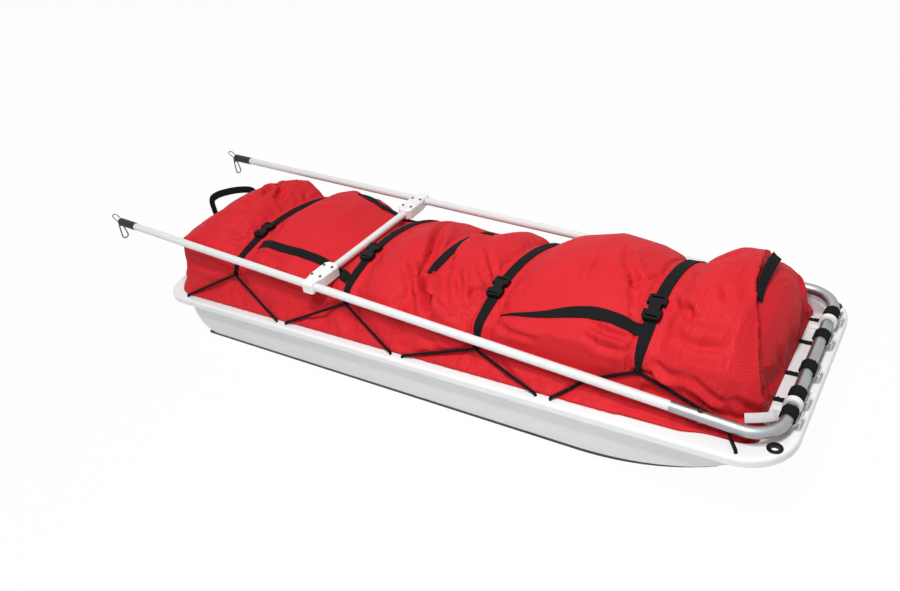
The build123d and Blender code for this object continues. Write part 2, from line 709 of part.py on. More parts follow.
clamp_half = shaft_half(crossbar_station)
crossbar_half = clamp_half - shaft_radius - crossbar_end_gap
for side, hand in ((1, "left"), (-1, "right")):
    # Shaft: a tube whose turned front end plugs into the bow
    with BuildPart() as shaft:
        with BuildSketch(shaft_plane(side, bow_leg)):
            Circle(shaft_radius)
        extrude(amount=shaft_length)
        with BuildSketch(shaft_plane(side, bow_leg)):
            Circle(bow_radius - bow_wall - spigot_clearance)
        extrude(amount=-spigot_length)
        with BuildSketch(shaft_plane(side, bow_leg - spigot_length)):
            Circle(shaft_radius - shaft_wall)
        extrude(amount=shaft_length + spigot_length + bow_leg, mode=Mode.SUBTRACT)
        with BuildSketch(drawbar):
            with Locations((pin_station, -side * pin_half)):
                Circle(pin_hole_radius)
        extrude(amount=bow_diameter, both=True, mode=Mode.SUBTRACT)
    shaft.part.label = "shaft_" + hand
    export_step(shaft.part, "parts/shaft_" + hand + ".step")

    # Headed pin through the bow and the plug
    with BuildPart() as joint_pin:
        with BuildSketch(drawbar):
            with Locations((pin_station, -side * pin_half)):
                Circle(pin_diameter / 2)
        extrude(amount=bow_radius + pin_head_height / 2, both=True)
        for face in (1, -1):
            with BuildSketch(drawbar.offset(face * bow_radius)):
                with Locations((pin_station, -side * pin_half)):
                    Circle(pin_head_diameter / 2)
            extrude(amount=face * pin_head_height)
    joint_pin.part.label = "joint_pin_" + hand
    export_step(joint_pin.part, "parts/joint_pin_" + hand + ".step")

    # T-clamp: a six-sided block bored for the shaft and the crossbar
    clamp_face = drawbar.offset(clamp_thickness / 2)
    screw_places = [
        (crossbar_station + along * screw_gauge / 2, -side * (clamp_half - screw_first - step * screw_pitch))
        for along in (1, -1)
        for step in (0, 1)
    ]
    with BuildPart() as clamp:
        with BuildSketch(drawbar):
            with BuildLine():
                rim_a = clamp_shaft_width / 2
                rim_b = clamp_width / 2
                corners = (
                    (rim_a - clamp_nose / 2, -clamp_outer),
                    (rim_a, -clamp_outer + clamp_nose / 2),
                    (rim_a, shaft_radius),
                    (rim_b, clamp_neck + shaft_radius / 2),
                    (rim_b, clamp_length - clamp_nose),
                    (rim_b - clamp_nose, clamp_length),
                )
                mirrored = [(-along, inward) for along, inward in reversed(corners)]
                outline = [
                    (crossbar_station + along, -side * (clamp_half - inward))
                    for along, inward in list(corners) + mirrored
                ]
                Polyline(*outline, close=True)
            make_face()
        extrude(amount=clamp_thickness / 2, both=True)
        flat_edges = clamp.faces().group_by(SortBy.AREA)[-1].edges()
        chamfer(flat_edges, clamp_chamfer)
        with BuildSketch(shaft_plane(side, crossbar_station)):
            Circle(shaft_radius + clamp_clearance)
        extrude(amount=clamp_width, both=True, mode=Mode.SUBTRACT)
        bore_start = drawbar.from_local_coords(Vector(crossbar_station, -side * clamp_half, 0))
        with BuildSketch(Plane(bore_start, z_dir=(0, -side, 0))):
            Circle(crossbar_radius + clamp_clearance)
        extrude(amount=clamp_length + clamp_outer, mode=Mode.SUBTRACT)
        with BuildSketch(clamp_face):
            with Locations(*screw_places):
                Circle(screw_diameter / 2 + spigot_clearance)
        extrude(amount=-screw_length - spigot_clearance, mode=Mode.SUBTRACT)
    clamp.part.label = "clamp_" + hand
    export_step(clamp.part, "parts/clamp_" + hand + ".step")

    # Socket-head screws in the top of the clamp
    with BuildPart() as clamp_screws:
        with BuildSketch(clamp_face):
            with Locations(*screw_places):
                Circle(screw_diameter / 2)
        extrude(amount=-screw_length)
        with BuildSketch(clamp_face):
            with Locations(*screw_places):
                Circle(screw_head_diameter / 2)
        extrude(amount=screw_head_height)
        with BuildSketch(clamp_face.offset(screw_head_height)):
            with Locations(*screw_places):
                RegularPolygon(screw_socket, 6)
        extrude(amount=-screw_socket_depth, mode=Mode.SUBTRACT)
    clamp_screws.part.label = "clamp_screws_" + hand
    export_step(clamp_screws.part, "parts/clamp_screws_" + hand + ".step")

    # Black shaft tip, plugged into the shaft and drilled for the eye
    with BuildPart() as tip:
        with BuildSketch(shaft_plane(side, shaft_end)):
            Circle(tip_diameter / 2)
        extrude(amount=tip_length)
        with BuildSketch(shaft_plane(side, shaft_end)):
            Circle(shaft_radius - shaft_wall - tip_plug_clearance)
        extrude(amount=-tip_plug_length)
        with BuildSketch(shaft_plane(side, tip_end)):
            Circle(eye_stud_radius + spigot_clearance)
        extrude(amount=-eye_stud_length - spigot_clearance, mode=Mode.SUBTRACT)
    tip.part.label = "tip_" + hand
    export_step(tip.part, "parts/tip_" + hand + ".step")

    # Tip eye: flange, stud, hanging tab for the hook, and a wire bail
    end_plane = shaft_plane(side, tip_end)
    tab_plane = Plane(end_plane.origin, x_dir=end_plane.z_dir, z_dir=end_plane.y_dir)
    up_sign = 1 if tab_plane.y_dir.Z > 0 else -1
    tab_length = sqrt(eye_reach * eye_reach + eye_drop * eye_drop)
    tab_turn = -up_sign * degrees(asin(eye_drop / tab_length))
    bail_angle = radians(bail_tilt)
    bail_along = end_plane.z_dir * cos(bail_angle) + end_plane.x_dir * sin(bail_angle)
    bail_origin = end_plane.origin + end_plane.z_dir * (eye_flange_thickness / 2)
    bail_plane = Plane(bail_origin, x_dir=bail_along, z_dir=end_plane.y_dir.cross(bail_along))
    with BuildPart() as tip_eye:
        with BuildSketch(tab_plane):
            with Locations((eye_reach / 2, -up_sign * eye_drop / 2)):
                SlotCenterToCenter(tab_length, 2 * eye_tab_radius, rotation=tab_turn)
        extrude(amount=eye_tab_thickness / 2, both=True)
        with BuildSketch(end_plane):
            Circle(tip_diameter * 2)
        extrude(amount=tip_length, mode=Mode.INTERSECT)
        with BuildSketch(end_plane):
            Circle(eye_flange_radius)
        extrude(amount=eye_flange_thickness)
        with BuildSketch(end_plane):
            Circle(eye_stud_radius)
        extrude(amount=-eye_stud_length)
        with BuildLine(bail_plane) as bail_line:
            FilletPolyline(
                (0, -bail_width / 3),
                (bail_length, -bail_width / 2 + bail_wire / 2),
                (bail_length, bail_width / 2 - bail_wire / 2),
                (0, bail_width / 3),
                radius=bail_bend,
            )
        bail_path = bail_line.wires()[0]
        with BuildSketch(Plane(bail_path @ 0, z_dir=bail_path % 0)):
            Circle(bail_wire / 2)
        sweep(path=bail_path)
        with BuildSketch(tab_plane):
            with Locations((eye_reach, -up_sign * eye_drop)):
                Circle(hook_wire / 2 + hook_clearance)
        extrude(amount=eye_tab_thickness, both=True, mode=Mode.SUBTRACT)
    tip_eye.part.label = "tip_eye_" + hand
    export_step(tip_eye.part, "parts/tip_eye_" + hand + ".step")

    # Snap hook: a pear-shaped wire loop that hangs in the eye
    pivot = tab_plane.from_local_coords(Vector(eye_reach, -up_sign * eye_drop, 0))
    hook_plane = Plane(pivot, x_dir=(0, 1, 0), z_dir=(1, 0, 0))
    with BuildPart() as hook:
        with BuildLine(hook_plane) as hook_line:
            FilletPolyline(
                (0, 0),
                (hook_top_width / 2, 0),
                (hook_width / 2 - hook_wire / 2, -hook_length + hook_wire),
                (0, -hook_length + hook_wire),
                radius=[hook_shoulder_bend, hook_bend],
            )
        hook_path = hook_line.wires()[0]
        with BuildSketch(Plane(hook_path @ 0, z_dir=hook_path % 0)):
            Circle(hook_wire / 2)
        sweep(path=hook_path)
        mirror(about=Plane(pivot, z_dir=(0, 1, 0)))
    hook.part.label = "hook_" + hand
    export_step(hook.part, "parts/hook_" + hand + ".step")

# Crossbar between the clamps
with BuildPart() as crossbar:
    crossbar_start = drawbar.from_local_coords(Vector(crossbar_station, crossbar_half, 0))
    with BuildSketch(Plane(crossbar_start, z_dir=(0, 1, 0))):
        Circle(crossbar_radius)
        Circle(crossbar_radius - crossbar_wall, mode=Mode.SUBTRACT)
    extrude(amount=2 * crossbar_half)
crossbar.part.label = "crossbar"
export_step(crossbar.part, "parts/crossbar.step")
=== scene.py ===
import math

import bmesh
import bpy
import numpy as np
from mathutils import Euler, Matrix, Vector, noise
from mathutils.bvhtree import BVHTree


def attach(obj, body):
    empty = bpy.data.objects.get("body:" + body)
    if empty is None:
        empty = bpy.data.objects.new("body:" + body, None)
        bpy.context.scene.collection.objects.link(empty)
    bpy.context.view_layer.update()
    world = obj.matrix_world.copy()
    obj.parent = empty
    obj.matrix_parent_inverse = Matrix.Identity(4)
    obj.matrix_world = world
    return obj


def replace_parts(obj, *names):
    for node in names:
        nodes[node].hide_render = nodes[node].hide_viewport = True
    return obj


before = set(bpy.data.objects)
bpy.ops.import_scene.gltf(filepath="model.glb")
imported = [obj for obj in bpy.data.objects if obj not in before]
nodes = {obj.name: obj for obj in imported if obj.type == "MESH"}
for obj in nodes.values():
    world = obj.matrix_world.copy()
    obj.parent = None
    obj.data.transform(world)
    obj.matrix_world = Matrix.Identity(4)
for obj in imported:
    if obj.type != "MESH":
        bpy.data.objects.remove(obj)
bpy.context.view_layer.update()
scene = bpy.context.scene
scene.view_settings.view_transform = "Standard"
print("frame loaded:", len(nodes), "nodes")

# Camera
cameraSetup = {
    "place": (1.12455, -1.242527, 1.156373),
    "right": (0.814922, 0.552731, -0.174327),
    "up": (-0.178242, 0.525225, 0.832087),
    "lens": 30.42,
    "sensor": 36.0,
}
cameraData = bpy.data.cameras.new("photoCamera")
cameraData.lens = cameraSetup["lens"]
cameraData.sensor_width = cameraSetup["sensor"]
cameraData.sensor_fit = "HORIZONTAL"
camera = bpy.data.objects.new("photoCamera", cameraData)
scene.collection.objects.link(camera)
right = Vector(cameraSetup["right"]).normalized()
up = Vector(cameraSetup["up"]).normalized()
camera.matrix_world = Matrix.LocRotScale(
    Vector(cameraSetup["place"]), Matrix((right, up, right.cross(up))).transposed().to_quaternion(), None
)
scene.camera = camera


# Node helpers
def startFinish(name):
    material = bpy.data.materials.new(name)
    material.use_nodes = True
    tree = material.node_tree
    return material, tree, tree.nodes["Principled BSDF"]


def addNode(tree, kind, inputs=None, **settings):
    made = tree.nodes.new(kind)
    for key, value in settings.items():
        setattr(made, key, value)
    for key, value in (inputs or {}).items():
        if isinstance(value, bpy.types.NodeSocket):
            tree.links.new(value, made.inputs[key])
        else:
            made.inputs[key].default_value = value
    return made


def objectSpace(tree, scale=(1, 1, 1), turn=(0, 0, 0)):
    where = addNode(tree, "ShaderNodeTexCoord")
    mapped = addNode(tree, "ShaderNodeMapping", {
        "Vector": where.outputs["Object"], "Scale": scale, "Rotation": turn})
    return mapped.outputs["Vector"]


def speckle(tree, where, scale, detail=3.0, rough=0.5):
    made = addNode(tree, "ShaderNodeTexNoise", {
        "Vector": where, "Scale": scale, "Detail": detail, "Roughness": rough})
    return made.outputs["Fac"]


def spread(tree, value, low, high, toLow, toHigh):
    made = addNode(tree, "ShaderNodeMapRange", {
        "Value": value, "From Min": low, "From Max": high, "To Min": toLow, "To Max": toHigh})
    return made.outputs["Result"]


def math2(tree, operation, first, second=0.0):
    made = addNode(tree, "ShaderNodeMath", {0: first, 1: second}, operation=operation)
    return made.outputs["Value"]


def blendColor(tree, share, first, second):
    made = addNode(tree, "ShaderNodeMix", {"Factor": share}, data_type="RGBA")
    for key, value in ((6, first), (7, second)):
        if isinstance(value, bpy.types.NodeSocket):
            tree.links.new(value, made.inputs[key])
        else:
            made.inputs[key].default_value = (*value, 1)
    return made.outputs[2]


def relief(tree, shader, height, depth, strength=1.0, under=None):
    made = addNode(tree, "ShaderNodeBump", {"Height": height, "Distance": depth, "Strength": strength})
    if under is not None:
        tree.links.new(under, made.inputs["Normal"])
    tree.links.new(made.outputs["Normal"], shader.inputs["Normal"])
    return made.outputs["Normal"]


def setSockets(shader, **values):
    names = {"color": "Base Color", "rough": "Roughness", "metal": "Metallic", "sheen": "Sheen Weight",
             "sheenRough": "Sheen Roughness", "coat": "Coat Weight", "coatRough": "Coat Roughness",
             "gloss": "Specular IOR Level"}
    for key, value in values.items():
        socket = shader.inputs[names[key]]
        if isinstance(value, bpy.types.NodeSocket):
            shader.id_data.links.new(value, socket)
        else:
            socket.default_value = (*value, 1) if key == "color" else value


# Threads of a plain weave, on the two directions that lie in the surface
def weave(tree, pitch):
    where = addNode(tree, "ShaderNodeTexCoord")
    turns = addNode(tree, "ShaderNodeVectorMath", {0: where.outputs["Object"]}, operation="SCALE")
    turns.inputs["Scale"].default_value = 2 * math.pi / pitch
    parts = addNode(tree, "ShaderNodeSeparateXYZ", {0: turns.outputs["Vector"]})
    facing = addNode(tree, "ShaderNodeVectorMath", {0: where.outputs["Normal"]}, operation="ABSOLUTE")
    flat = addNode(tree, "ShaderNodeSeparateXYZ", {0: facing.outputs["Vector"]})
    waves = [math2(tree, "SINE", parts.outputs[axis]) for axis in range(3)]
    onTop = math2(tree, "MULTIPLY", math2(tree, "MULTIPLY", waves[0], waves[1]), flat.outputs[2])
    onSide = math2(tree, "MULTIPLY", math2(tree, "MULTIPLY", waves[0], waves[2]), flat.outputs[1])
    onEnd = math2(tree, "MULTIPLY", math2(tree, "MULTIPLY", waves[1], waves[2]), flat.outputs[0])
    return math2(tree, "ADD", math2(tree, "ADD", onTop, onSide), onEnd)


# Thin crests where a noise crosses its middle value
def ridge(tree, where):
    wave = speckle(tree, where, 1.0, 1.5, 0.4)
    away = math2(tree, "ABSOLUTE", math2(tree, "SUBTRACT", wave, 0.5))
    return spread(tree, away, 0.0, 0.09, 1.0, 0.0)


def makeHullWhite():
    material, tree, shader = startFinish("hullWhite")
    broad = speckle(tree, objectSpace(tree), 2.5)
    color = blendColor(tree, broad, (0.78, 0.79, 0.80), (0.86, 0.865, 0.87))
    drag = speckle(tree, objectSpace(tree, (3, 70, 70)), 6.0, 4.0)  # fine marks along the way it slides
    color = blendColor(tree, spread(tree, drag, 0.6, 0.8, 0.0, 0.25), color, (0.62, 0.63, 0.65))
    setSockets(shader, color=color, rough=spread(tree, drag, 0.3, 0.7, 0.26, 0.4), coat=0.15, coatRough=0.2)
    relief(tree, shader, speckle(tree, objectSpace(tree), 350.0), 0.0003, 0.35)
    return material


def makeShaftWhite():
    material, tree, shader = startFinish("shaftWhite")
    grain = speckle(tree, objectSpace(tree, (2, 160, 160), (0, math.radians(-5), 0)), 5.0, 4.0)
    setSockets(shader, color=blendColor(tree, grain, (0.69, 0.695, 0.70), (0.76, 0.76, 0.76)),
               rough=spread(tree, grain, 0.3, 0.7, 0.22, 0.36), coat=0.2, coatRough=0.12)
    relief(tree, shader, grain, 0.0002, 0.4)
    return material


def makeMoulded(name, low, high, roughLow, roughHigh, gloss=0.5, texture=600.0):
    material, tree, shader = startFinish(name)
    grain = speckle(tree, objectSpace(tree), texture)
    cloud = speckle(tree, objectSpace(tree), 18.0)
    setSockets(shader, color=blendColor(tree, cloud, low, high), gloss=gloss,
               rough=spread(tree, cloud, 0.3, 0.7, roughLow, roughHigh))
    relief(tree, shader, grain, 0.0004, 0.4)
    return material


def makeRunnerBlack():
    material, tree, shader = startFinish("runnerBlack")
    drag = speckle(tree, objectSpace(tree, (4, 120, 120)), 8.0, 5.0)
    worn = spread(tree, drag, 0.55, 0.8, 0.0, 0.6)
    color = blendColor(tree, worn, (0.016, 0.017, 0.018), (0.11, 0.11, 0.11))
    setSockets(shader, color=color, rough=spread(tree, drag, 0.3, 0.7, 0.38, 0.62))
    relief(tree, shader, drag, 0.0004, 0.5)
    return material


def makeMetal(name, low, high, roughLow, roughHigh, streak, metal=1.0):
    material, tree, shader = startFinish(name)
    drawn = speckle(tree, objectSpace(tree, streak), 6.0, 5.0, 0.6)
    dull = speckle(tree, objectSpace(tree), 25.0)
    setSockets(shader, color=blendColor(tree, dull, low, high), metal=metal,
               rough=spread(tree, drawn, 0.3, 0.7, roughLow, roughHigh))
    relief(tree, shader, drawn, 0.0003, 0.25)
    return material


def makeWebbing(name, low, high, pitch, rough):
    material, tree, shader = startFinish(name)
    threads = weave(tree, pitch)
    fuzz = speckle(tree, objectSpace(tree), 900.0)
    share = math2(tree, "ADD", spread(tree, threads, -1.0, 1.0, 0.0, 0.6), math2(tree, "MULTIPLY", fuzz, 0.4))
    setSockets(shader, color=blendColor(tree, share, low, high), rough=rough, gloss=0.06)
    relief(tree, shader, share, 0.0009, 0.8)
    return material


def makeCord():
    material, tree, shader = startFinish("cordBlack")
    strand = addNode(tree, "ShaderNodeTexVoronoi", {"Vector": objectSpace(tree, (1, 1, 1.6)), "Scale": 420.0})
    share = spread(tree, strand.outputs["Distance"], 0.0, 0.6, 1.0, 0.0)
    color = blendColor(tree, share, (0.003, 0.003, 0.0035), (0.024, 0.024, 0.026))
    setSockets(shader, color=color, rough=0.7, gloss=0.08)
    relief(tree, shader, share, 0.0008, 0.8)
    return material


def makeBagRed():
    material, tree, shader = startFinish("bagRed")
    threads = weave(tree, 0.0055)
    cloud = speckle(tree, objectSpace(tree), 9.0, 4.0)
    slub = speckle(tree, objectSpace(tree), 420.0, 2.0)
    patch = spread(tree, speckle(tree, objectSpace(tree), 6.0, 1.0), 0.42, 0.62, 0.0, 1.0)
    creases = [ridge(tree, objectSpace(tree, (30, 9, 9), (0, 0, math.radians(turn)))) for turn in (38, -32)]
    crease = math2(tree, "MULTIPLY", math2(tree, "MAXIMUM", *creases), patch)
    color = blendColor(tree, cloud, (0.68, 0.0210, 0.0300), (0.78, 0.0270, 0.0370))
    color = blendColor(tree, spread(tree, threads, -1.0, 1.0, 0.0, 0.62), color, (0.31, 0.0060, 0.0105))
    setSockets(shader, color=color, rough=spread(tree, slub, 0.3, 0.7, 0.55, 0.7), gloss=0.12)
    rough = math2(tree, "ADD", math2(tree, "MULTIPLY", threads, 0.6), math2(tree, "MULTIPLY", slub, 0.5))
    creased = relief(tree, shader, crease, 0.004, 0.5)
    relief(tree, shader, rough, 0.0006, 0.5, under=creased)
    return material


finishes = {
    "hull_white": makeHullWhite(),
    "runner_black": makeRunnerBlack(),
    "bag_red": makeBagRed(),
    "webbing_black": makeWebbing("webbingBlack", (0.003, 0.003, 0.0035), (0.018, 0.018, 0.019), 0.0046, 0.8),
    "cord_black": makeCord(),
    "hem_white": makeWebbing("hemWhite", (0.62, 0.63, 0.64), (0.84, 0.84, 0.84), 0.003, 0.7),
    "buckle_black": makeMoulded("buckleBlack", (0.003, 0.003, 0.004), (0.008, 0.008, 0.009), 0.4, 0.52, 0.1),
    "shaft_white": makeShaftWhite(),
    "clamp_white": makeMoulded("clampWhite", (0.76, 0.765, 0.77), (0.85, 0.85, 0.85), 0.32, 0.46),
    "bow_aluminium": makeMetal("bowAluminium", (0.30, 0.31, 0.32), (0.42, 0.43, 0.44), 0.38, 0.52,
                               (60, 60, 60)),
    "crossbar_aluminium": makeMetal("crossbarAluminium", (0.66, 0.67, 0.68), (0.78, 0.785, 0.79), 0.36, 0.5,
                                    (160, 3, 160), 0.3),
    "tip_black": makeMoulded("tipBlack", (0.006, 0.006, 0.007), (0.018, 0.018, 0.019), 0.45, 0.6, 0.3),
    "steel": makeMetal("steel", (0.13, 0.13, 0.135), (0.24, 0.24, 0.245), 0.2, 0.34, (40, 40, 40)),
}
ownFinishes = {
    "eyelet_left": makeMetal("eyeletDark", (0.02, 0.02, 0.022), (0.05, 0.05, 0.052), 0.3, 0.45, (40, 40, 40)),
    "ladder_buckles": makeMetal("plateBright", (0.46, 0.46, 0.47), (0.60, 0.60, 0.61), 0.32, 0.46,
                                (40, 40, 40)),
}
ownFinishes["eyelet_right"] = ownFinishes["eyelet_left"]
for name, node in nodes.items():
    slotName = node.data.materials[0].name.split(".")[0]
    node.data.materials[0] = ownFinishes.get(name, finishes[slotName])
print("finishes set on the frame:", len(finishes))


# Floor, world and lamps
stageSetup = {
    "floorSize": 14.0,
    "floorGrey": 0.8,
    "floorGlow": 0.97,  # how white the camera sees the floor
    "ambient": 0.33,
    "lamps": {  # place, aim, size, power
        "key": ((0.75, -0.9, 2.75), (0.0, 0.0, 0.2), 0.4, 45.0),
        "front": ((0.75, -1.66, 2.75), (0.0, 0.0, 0.2), 0.3, 29.0),  # its shadow of the lip ends at the chine
        "lowFill": ((0.9, -2.6, 0.35), (0.0, 0.0, 0.05), 1.5, 3.5),
        "backFill": ((-0.6, 2.4, 2.4), (0.0, 0.0, 0.2), 2.0, 6.5),
    },
}


def lightPathShare(tree):
    path = addNode(tree, "ShaderNodeLightPath")
    seen = math2(tree, "MAXIMUM", path.outputs["Is Camera Ray"], path.outputs["Is Glossy Ray"])
    return math2(tree, "MAXIMUM", seen, path.outputs["Is Transmission Ray"])


def makeFloor():
    bm = bmesh.new()
    bmesh.ops.create_grid(bm, x_segments=1, y_segments=1, size=stageSetup["floorSize"])
    mesh = bpy.data.meshes.new("floor")
    bm.to_mesh(mesh)
    bm.free()
    floor = bpy.data.objects.new("floor", mesh)
    scene.collection.objects.link(floor)
    material, tree, shader = startFinish("paleFloor")
    tree.nodes.remove(shader)
    grey = stageSetup["floorGrey"]
    plain = addNode(tree, "ShaderNodeBsdfDiffuse", {"Color": (grey, grey, grey, 1)})
    glow = addNode(tree, "ShaderNodeEmission", {"Color": (1, 1, 1, 1), "Strength": 1.0})
    share = math2(tree, "MULTIPLY", lightPathShare(tree), stageSetup["floorGlow"])
    mixed = addNode(tree, "ShaderNodeMixShader", {0: share, 1: plain.outputs[0], 2: glow.outputs[0]})
    tree.links.new(mixed.outputs[0], tree.nodes["Material Output"].inputs["Surface"])
    mesh.materials.append(material)


def makeWorld():
    world = bpy.data.worlds.new("studio")
    scene.world = world
    world.use_nodes = True
    tree = world.node_tree
    back = tree.nodes["Background"]
    back.inputs["Color"].default_value = (1, 1, 1, 1)
    strength = spread(tree, lightPathShare(tree), 0.0, 1.0, stageSetup["ambient"], 1.0)
    tree.links.new(strength, back.inputs["Strength"])


def addLamp(name, place, aim, size, power):
    data = bpy.data.lights.new(name, "AREA")
    data.shape = "SQUARE"
    data.size = size
    data.energy = power
    lamp = bpy.data.objects.new(name, data)
    lamp.location = place
    lamp.rotation_euler = (Vector(aim) - Vector(place)).to_track_quat("-Z", "Y").to_euler()
    scene.collection.objects.link(lamp)


makeFloor()
makeWorld()
for name, lampValues in stageSetup["lamps"].items():
    addLamp(name, *lampValues)
print("stage ready:", len(stageSetup["lamps"]), "lamps")


# Shared mesh tools
mergeGap = 1e-5


def newPiece(name, bm, finish, body, smooth=True):
    mesh = bpy.data.meshes.new(name)
    bm.to_mesh(mesh)
    bm.free()
    for face in mesh.polygons:
        face.use_smooth = smooth
    mesh.materials.append(finish)
    piece = bpy.data.objects.new(name, mesh)
    scene.collection.objects.link(piece)
    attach(piece, body)
    return piece


def applyModifiers(piece):
    deps = bpy.context.evaluated_depsgraph_get()
    mesh = bpy.data.meshes.new_from_object(piece.evaluated_get(deps))
    piece.modifiers.clear()
    old = piece.data
    piece.data = mesh
    bpy.data.meshes.remove(old)


def treeOf(names):
    verts, faces = [], []
    for name in names:
        mesh = nodes[name].data
        start = len(verts)
        verts += [v.co.copy() for v in mesh.vertices]
        faces += [[start + i for i in f.vertices] for f in mesh.polygons]
    return BVHTree.FromPolygons(verts, faces)


def smoothVerts(bm, turns, factor):
    for turn in range(turns):
        bmesh.ops.smooth_vert(bm, verts=bm.verts, factor=factor,
                              use_axis_x=True, use_axis_y=True, use_axis_z=True)


def smoothStep(low, high, value):
    share = min(max((value - low) / (high - low), 0.0), 1.0)
    return share * share * (3 - 2 * share)


# The filled bag: a copy of its solid, remeshed, then blown against its straps
bagForm = {
    "voxel": 0.008,
    "smoothing": (4, 0.5),  # turns, factor
    "rimHeight": 0.158,
    "rimBlend": 0.02,
    "slim": 0.007,  # taken off before the blowing, which puts it back
    "pressure": 2.2,
    "slack": 0.07,
    "mass": 0.3,
    "stretch": 15,
    "shear": 5,
    "quality": 4,
    "bending": 0.12,
    "frames": 20,
    "proud": 0.005,
    "strapHold": (0.004, 0.014),
    "cordHold": (0.006, 0.03),
    "cordShare": 0.1,  # what is left of proud at a cord
    "clearance": 0.006,
    "foldGain": 1.3,
    "foldLimits": (-0.026, 0.030),
    "foldLobe": 0.42,  # how much a fold lifts its own sides
    "lobePlace": 1.8,  # in widths of the fold
    "bulgeWidth": 20,  # a stroke this wide has no lobes
    "foldBlend": 0.012,  # folds have their full depth this far above the rim
    "strapPress": (0.004, 0.020),
    "sewnFoot": (0.112, -0.108),
    "skirt": 0.010,
    "skirtHeights": (0.160, 0.192),
    "skirtFloor": 0.1542,  # just over the rim's top
    "skirtSide": 0.2,
    "skirtFront": (0.74, 0.80),
    "skirtCord": (0.003, 0.012),
}
strapNames = [name for name in nodes if name.startswith("cross_strap")]
sewnName = "cross_strap_3"  # short, sewn on the top, without lashing
cordNames = ["lash_cord_left", "lash_cord_right"]
drawbarNames = ["bow", "shaft_left", "shaft_right", "crossbar", "clamp_left", "clamp_right"]
heldNames = strapNames + ["rear_handle", "front_hem"]
flapEdge = {
    "points": ((0.784, 0.185, 0.255), (0.790, 0.130, 0.318), (0.800, 0.060, 0.341),
               (0.810, -0.022, 0.344), (0.837, -0.094, 0.300), (0.857, -0.152, 0.248),
               (0.871, -0.173, 0.196), (0.874, -0.182, 0.160)),
    "step": 0.012,
    "edge": 0.004,
    "reach": 0.10,
    "bead": 0.003,
    "beadReach": 0.012,
}
